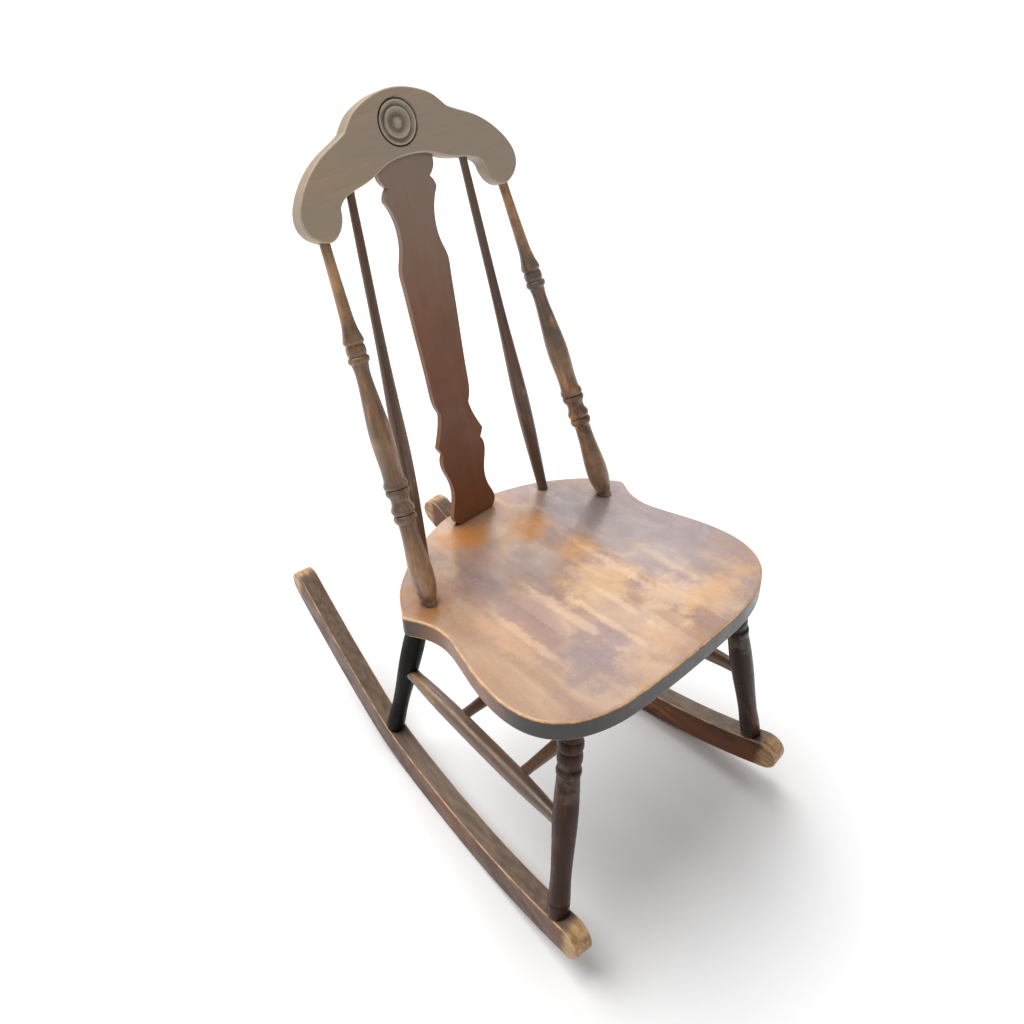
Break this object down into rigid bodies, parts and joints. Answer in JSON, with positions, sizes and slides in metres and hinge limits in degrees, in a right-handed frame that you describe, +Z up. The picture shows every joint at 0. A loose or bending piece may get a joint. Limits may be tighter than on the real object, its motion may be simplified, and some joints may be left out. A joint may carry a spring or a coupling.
{
  "type": "rocking chair",
  "caption": "Armless rocking chair with a shaped plank seat, a spindle back around a fretted splat, a carved crest rail and bow rockers.",
  "frame": {"origin": "on the floor, in the mirror plane, midway between the tips of the rockers", "axes": "+Z up, the sitter faces -Y, +X is the sitter's left"},
  "size_m": [0.4394, 0.7013, 0.9074],
  "materials": {
    "seat_wood_right": "glossy old varnish over a warm brown hardwood board",
    "seat_wood_middle": "glossy old varnish over a paler brown hardwood board",
    "seat_wood_narrow": "glossy old varnish over a mid brown hardwood board",
    "seat_wood_left": "glossy old varnish over a darker brown hardwood board",
    "rocker_wood": "worn varnish, greyed on top and rubbed to orange brown on the sides",
    "stretcher_wood": "varnished golden brown hardwood",
    "leg_wood": "dark varnish with reddish rubbed patches",
    "dark_leg_wood": "almost black old varnish",
    "spindle_wood": "dark brown varnish worn to orange on the swellings",
    "splat_wood": "red-brown varnished board",
    "crest_wood": "dull grey-brown varnish with worn edges"
  },
  "bodies": {
    "root": {"seat_board_right": "seat_wood_right", "seat_board_middle": "seat_wood_middle", "seat_board_narrow": "seat_wood_narrow", "seat_board_left": "seat_wood_left", "rocker_right": "rocker_wood", "side_stretcher_right": "stretcher_wood", "front_leg_right": "leg_wood", "rear_leg_right": "dark_leg_wood", "outer_spindle_right": "spindle_wood", "inner_spindle_right": "spindle_wood", "rocker_left": "rocker_wood", "side_stretcher_left": "stretcher_wood", "front_leg_left": "leg_wood", "rear_leg_left": "dark_leg_wood", "outer_spindle_left": "spindle_wood", "inner_spindle_left": "spindle_wood", "cross_stretcher_rear": "stretcher_wood", "cross_stretcher_front": "stretcher_wood", "back_splat": "splat_wood", "crest_rail": "crest_wood"}
  },
  "joints": []
}
